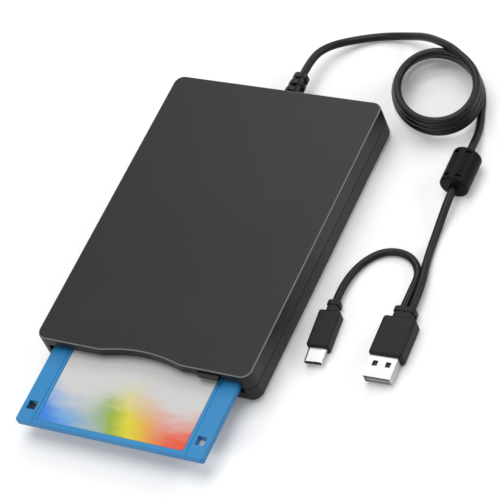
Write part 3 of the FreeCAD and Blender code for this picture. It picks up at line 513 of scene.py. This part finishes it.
def relief_profile():
    """Half-section as (distance from the wall, radius, is a web) with rounded rib edges."""
    pitch = RELIEF_LENGTH / RELIEF_RIBS
    profile = [(0.0, RELIEF_FIRST - RELIEF_RIM, False)]
    for i in range(RELIEF_RIBS):
        radius = RELIEF_FIRST + (RELIEF_LAST - RELIEF_FIRST) * i / (RELIEF_RIBS - 1)
        start, end = i * pitch, i * pitch + pitch * RIB_SHARE
        profile += [(start + RING_STEP, radius - RELIEF_RIM, False), (start + RELIEF_RIM, radius, False),
                    (end - RELIEF_RIM, radius, False), (end, radius - RELIEF_RIM, False)]
        if i < RELIEF_RIBS - 1:
            profile += [(end + WEB_STEP, radius - WEB_SINK, True),
                        (start + pitch - WEB_STEP, radius - WEB_SINK, True)]
    profile += [(profile[-1][0] + CORE_STEP, RELIEF_CORE, False),
                (RELIEF_LENGTH - RING_STEP, RELIEF_TIP, False)]
    return profile


def relief_ring(mesh, along, radius, web):
    """One ring of points; a web's ring drops to the core where its slots are."""
    ring = []
    for k in range(RELIEF_STEPS):
        angle = math.tau * k / RELIEF_STEPS
        slotted = web and math.cos(SLOTS_ROUND * angle) > SLOT_EDGE
        r = RELIEF_CORE if slotted else radius
        ring.append(mesh.verts.new((RELIEF_X + r * math.cos(angle), RELIEF_BACK + along,
                                    RELIEF_Z + r * math.sin(angle))))
    return ring


def make_strain_relief():
    mesh = bmesh.new()
    rings = [relief_ring(mesh, *row) for row in relief_profile()]
    for first, second in zip(rings, rings[1:]):
        for k in range(RELIEF_STEPS):
            n = (k + 1) % RELIEF_STEPS
            mesh.faces.new((first[k], first[n], second[n], second[k]))
    mesh.faces.new(rings[0])
    mesh.faces.new(rings[-1])
    bmesh.ops.recalc_face_normals(mesh, faces=mesh.faces)
    data = bpy.data.meshes.new("relief_sleeve")
    mesh.to_mesh(data)
    mesh.free()
    sleeve = add_object("relief_sleeve", data)
    data.materials.append(material("cord_rubber"))
    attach(sleeve, "root")
    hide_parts("strain_relief")


# Cords
CORD = 3.6 * MM
TAIL = 3.4 * MM
COIL_TURNS = 3
COIL_FROM, COIL_TO = 60.0, 9.0
COIL_CENTRE = (68.9 * MM, 108.1 * MM)
COIL_AXIS = math.radians(135.0)
COIL_LONG, COIL_LONG_GROWTH = 20.7 * MM, 1.5 * MM
COIL_SHORT, COIL_SHORT_GROWTH = 16.9 * MM, 0.45 * MM
COIL_DRIFT = 2.17 * MM
COIL_PITCH = 4.12 * MM
COIL_APPROACH = 9.0 * MM
POINTS_PER_TURN = 24
WAY_STEP = 0.001
LEAD = [(2.0, 108.4, 9.4), (2.0, 118.4, 9.4), (5.6, 127.6, 7.0), (13.5, 135.2, 3.6), (25.0, 140.8, 1.9),
        (38.0, 141.6, 3.4), (51.0, 138.2, 9.0)]
DROP = [(92.75, 84.4, 6.4), (92.75, 57.0, 6.4), (91.9, 43.0, 1.8), (93.4, 26.5, 1.9), (97.2, 13.0, 3.8),
        (97.65, 0.2, 3.8)]
DROP_STRAIGHT = 13.3 * MM
TAIL_ROUTE = [(93.95, 0.2, 3.8), (93.5, 10.4, 3.0), (92.9, 20.6, 2.0), (85.2, 28.4, 1.7), (74.0, 28.6, 1.7),
              (66.0, 20.8, 1.8), (62.831, 7.267, 2.95), (63.6, -1.7, 2.95)]
CURVE_ORDER = 3
CURVE_STEPS = 8
BEVEL_STEPS = 5


def coil_length():
    """How many turns the coil has in all."""
    return COIL_TURNS + (COIL_FROM - COIL_TO) / 360.0


def coil_point(turned):
    """A point of the coil's middle line: oval turns, clockwise from above, each below the last."""
    angle = math.radians(COIL_FROM - 360.0 * turned) - COIL_AXIS
    along = COIL_DRIFT * turned + (COIL_LONG + COIL_LONG_GROWTH * turned) * math.cos(angle)
    across = (COIL_SHORT + COIL_SHORT_GROWTH * turned) * math.sin(angle)
    height = CORD / 2 + COIL_PITCH * (coil_length() - turned)
    x = along * math.cos(COIL_AXIS) - across * math.sin(COIL_AXIS)
    y = along * math.sin(COIL_AXIS) + across * math.cos(COIL_AXIS)
    return Vector((COIL_CENTRE[0] + x, COIL_CENTRE[1] + y, height))


def level_way(turned):
    """The coil's direction at a point, seen from above."""
    way = coil_point(turned + WAY_STEP) - coil_point(turned - WAY_STEP)
    way.z = 0
    return way.normalized()


def coil_route():
    """The coil's turns, with a straight bit before and after them."""
    total = coil_length()
    count = int(total * POINTS_PER_TURN)
    turns = [coil_point(total * i / count) for i in range(count + 1)]
    first, last = level_way(0.0), level_way(total)
    before, after = turns[0] - first * CORD, turns[-1] + last * CORD
    return [before - first * COIL_APPROACH, before] + turns + [after, after + last * DROP_STRAIGHT]


def cord_curve(name, points, diameter, slot):
    curve = bpy.data.curves.new(name, "CURVE")
    curve.dimensions = "3D"
    spline = curve.splines.new("NURBS")
    spline.points.add(len(points) - 1)
    for target, point in zip(spline.points, points):
        target.co = (*point, 1.0)
    spline.order_u = CURVE_ORDER
    spline.use_endpoint_u = True
    spline.resolution_u = CURVE_STEPS
    curve.bevel_depth = diameter / 2
    curve.bevel_resolution = BEVEL_STEPS
    curve.use_fill_caps = True
    curve.materials.append(material(slot))
    cord = add_object(name, curve)
    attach(cord, "root")
    return cord


def make_cords():
    lead = [Vector(p) * MM for p in LEAD]
    drop = [Vector(p) * MM for p in DROP]
    main = cord_curve("main_cord", lead + coil_route() + drop, CORD, "cord_rubber")
    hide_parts("cord_lead", "cord_coil", "cord_drop")
    route = [Vector(p) * MM for p in TAIL_ROUTE]
    tail = cord_curve("tail_cord", route, TAIL, "cord_rubber")
    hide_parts("cord_tail")


bpy.context.scene.view_settings.view_transform = "Standard"
make_camera()
make_stage()
dress_nodes()
make_strain_relief()
make_cords()
